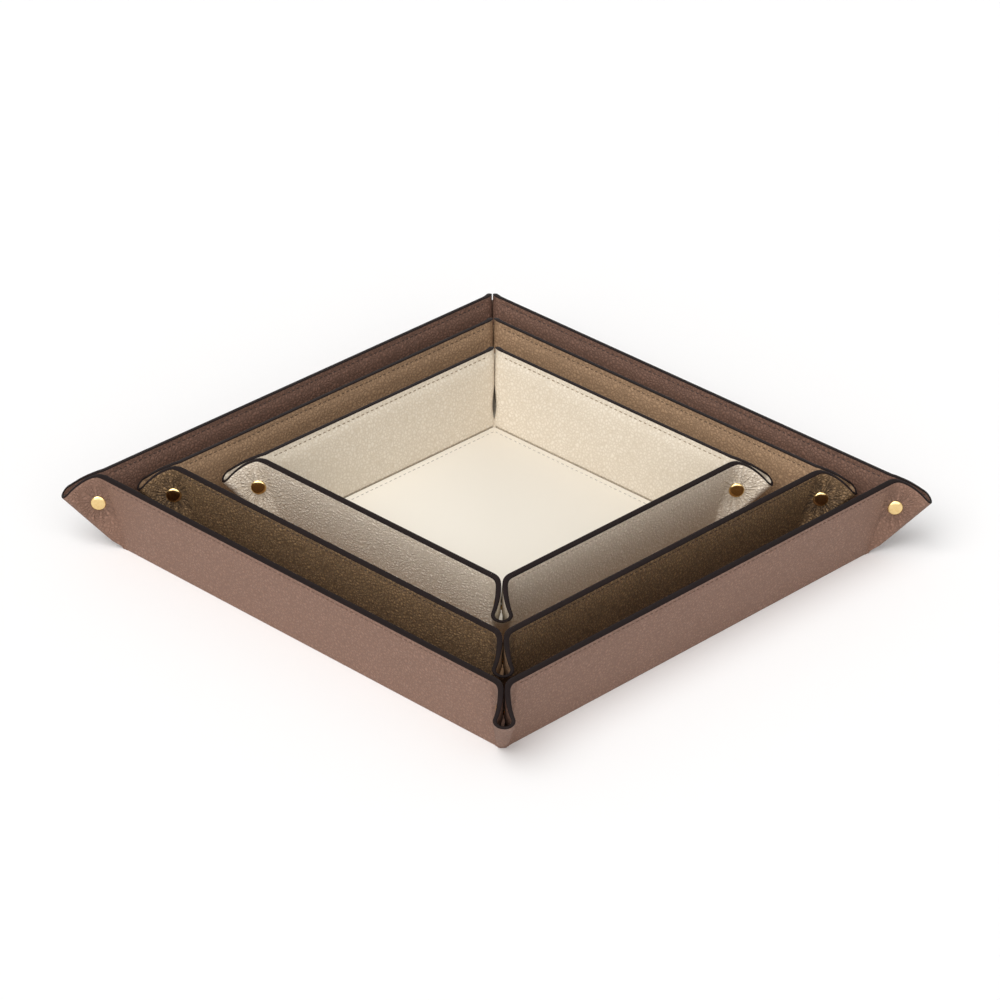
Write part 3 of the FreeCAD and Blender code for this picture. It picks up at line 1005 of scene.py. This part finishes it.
def tray_finishes(tray, shared):
    colours = COLOURS[tray]
    grain = colours["outer_grain"]
    outer, outer_dark = colours["outer"], colours["outer_dark"]
    lining, lining_dark = colours["lining"], colours["lining_dark"]
    floor = colours["floor"]
    # Painted shade in the fold: the crease strip's colour is the lining's dark one, and its crevices darker
    # still.
    crease = darker(lining_dark, CREASE_SHADE_SHARE)
    depth = colours["lining_depth"]
    finishes = dict(shared)
    finishes["outer"] = leather(
        f"{tray}_outer", outer, outer_dark, grain, colours["outer_depth"], OUTER_ROUGHNESS, OUTER_SWELL)
    finishes["outer_ear"] = leather(
        f"{tray}_outer_ear", outer, outer_dark, grain, colours["ear_depth"], EAR_ROUGHNESS, OUTER_SWELL,
        PUCKER_DEPTH)
    finishes["lining"] = leather(
        f"{tray}_lining", lining, lining_dark, LINING_GRAIN, depth, LINING_ROUGHNESS)
    finishes["crease"] = leather(
        f"{tray}_crease", lining_dark, crease, LINING_GRAIN, depth, CREASE_ROUGHNESS)
    finishes["floor"] = leather(
        f"{tray}_floor", floor, floor, FLOOR_GRAIN, FLOOR_GRAIN_DEPTH, FLOOR_ROUGHNESS)
    finishes["outer_thread"] = thread(f"{tray}_outer_thread", outer_dark)
    finishes["lining_thread"] = thread(f"{tray}_lining_thread", colours["lining_thread"])
    finishes["floor_thread"] = thread(f"{tray}_floor_thread", darker(floor, FLOOR_THREAD_SHARE))
    return finishes


# Studio
def soft_sun(name, towards, strength, spread):
    """A wide, even light from a direction, which makes the floor equally bright near and far."""
    lamp = bpy.data.lights.new(name, "SUN")
    lamp.energy = strength
    lamp.angle = math.radians(spread)
    holder = bpy.data.objects.new(name, lamp)
    holder.rotation_euler = Vector(towards).to_track_quat("Z", "Y").to_euler()
    bpy.context.scene.collection.objects.link(holder)


def studio():
    scene = bpy.context.scene
    scene.view_settings.view_transform = "Standard"
    world = bpy.data.worlds.new("studio_white")
    scene.world = world
    world.use_nodes = True
    nodes, links = world.node_tree.nodes, world.node_tree.links
    surround = nodes["Background"]
    surround.inputs["Color"].default_value = WHITE
    surround.inputs["Strength"].default_value = SURROUND_STRENGTH
    white = add_node(nodes, "ShaderNodeBackground", Color=WHITE, Strength=1)
    rays = add_node(nodes, "ShaderNodeLightPath")
    seen = add_node(nodes, "ShaderNodeMath", operation="MAXIMUM")
    links.new(rays.outputs["Is Camera Ray"], seen.inputs[0])
    links.new(rays.outputs["Is Glossy Ray"], seen.inputs[1])
    also = add_node(nodes, "ShaderNodeMath", operation="MAXIMUM")
    links.new(seen.outputs["Value"], also.inputs[0])
    links.new(rays.outputs["Is Transmission Ray"], also.inputs[1])
    choice = add_node(nodes, "ShaderNodeMixShader")
    links.new(also.outputs["Value"], choice.inputs["Fac"])
    links.new(surround.outputs["Background"], choice.inputs[1])
    links.new(white.outputs["Background"], choice.inputs[2])
    links.new(choice.outputs["Shader"], nodes["World Output"].inputs["Surface"])

    corners = [(x * STUDIO_REACH, y * STUDIO_REACH, 0) for x, y in ((-1, -1), (1, -1), (1, 1), (-1, 1))]
    mesh = bpy.data.meshes.new("studio_floor")
    mesh.from_pydata(corners, [], [tuple(range(len(corners)))])
    material, nodes, links = new_material("studio_floor")
    shader = nodes["Principled BSDF"]
    shader.inputs["Base Color"].default_value = STUDIO_COLOUR
    shader.inputs["Roughness"].default_value = STUDIO_ROUGHNESS
    mesh.materials.append(material)
    floor = bpy.data.objects.new("studio_floor", mesh)
    scene.collection.objects.link(floor)

    for name, (towards, strength, spread) in LIGHTS.items():
        soft_sun(name, towards, strength, spread)


# Camera, as found from the corners of the trays in the photograph
CAMERA_TURN = math.radians(43.7)
CAMERA_RISE = math.radians(29.87)
CAMERA_ROLL = math.radians(0.98)
CAMERA_DISTANCE = 2.32668
CAMERA_LENS = 177.68
SENSOR_WIDTH = 36
AIM_RIGHT = 0.0016
AIM_UP = 0.02325


def add_camera():
    flat = math.cos(CAMERA_RISE)
    back = Vector((math.sin(CAMERA_TURN) * flat, -math.cos(CAMERA_TURN) * flat, math.sin(CAMERA_RISE)))
    level = Vector((math.cos(CAMERA_TURN), math.sin(CAMERA_TURN), 0))
    upright = back.cross(level)
    right = level * math.cos(CAMERA_ROLL) + upright * math.sin(CAMERA_ROLL)
    up = upright * math.cos(CAMERA_ROLL) - level * math.sin(CAMERA_ROLL)
    place = back * CAMERA_DISTANCE
    away = (place - right * AIM_RIGHT - up * AIM_UP).normalized()
    right = (right - away * right.dot(away)).normalized()
    up = away.cross(right)
    data = bpy.data.cameras.new("photo_camera")
    data.lens = CAMERA_LENS
    data.sensor_width = SENSOR_WIDTH
    camera = bpy.data.objects.new("photo_camera", data)
    axes = Matrix((right, up, away)).transposed().to_4x4()
    camera.matrix_world = Matrix.Translation(place) @ axes
    bpy.context.scene.collection.objects.link(camera)
    bpy.context.scene.camera = camera


def main():
    add_camera()
    studio()
    shared = {"edge": painted_edge(), "brass": polished_brass(), "board": grey_board()}
    for tray in TRAYS:
        finishes = tray_finishes(tray, shared)
        wall_pieces(tray, finishes)
        half_ears(tray, finishes)
        floor_pieces(tray, finishes)
        crease_pieces(tray, finishes)
        sewing(tray, finishes)
        press_studs(tray, finishes)


main()
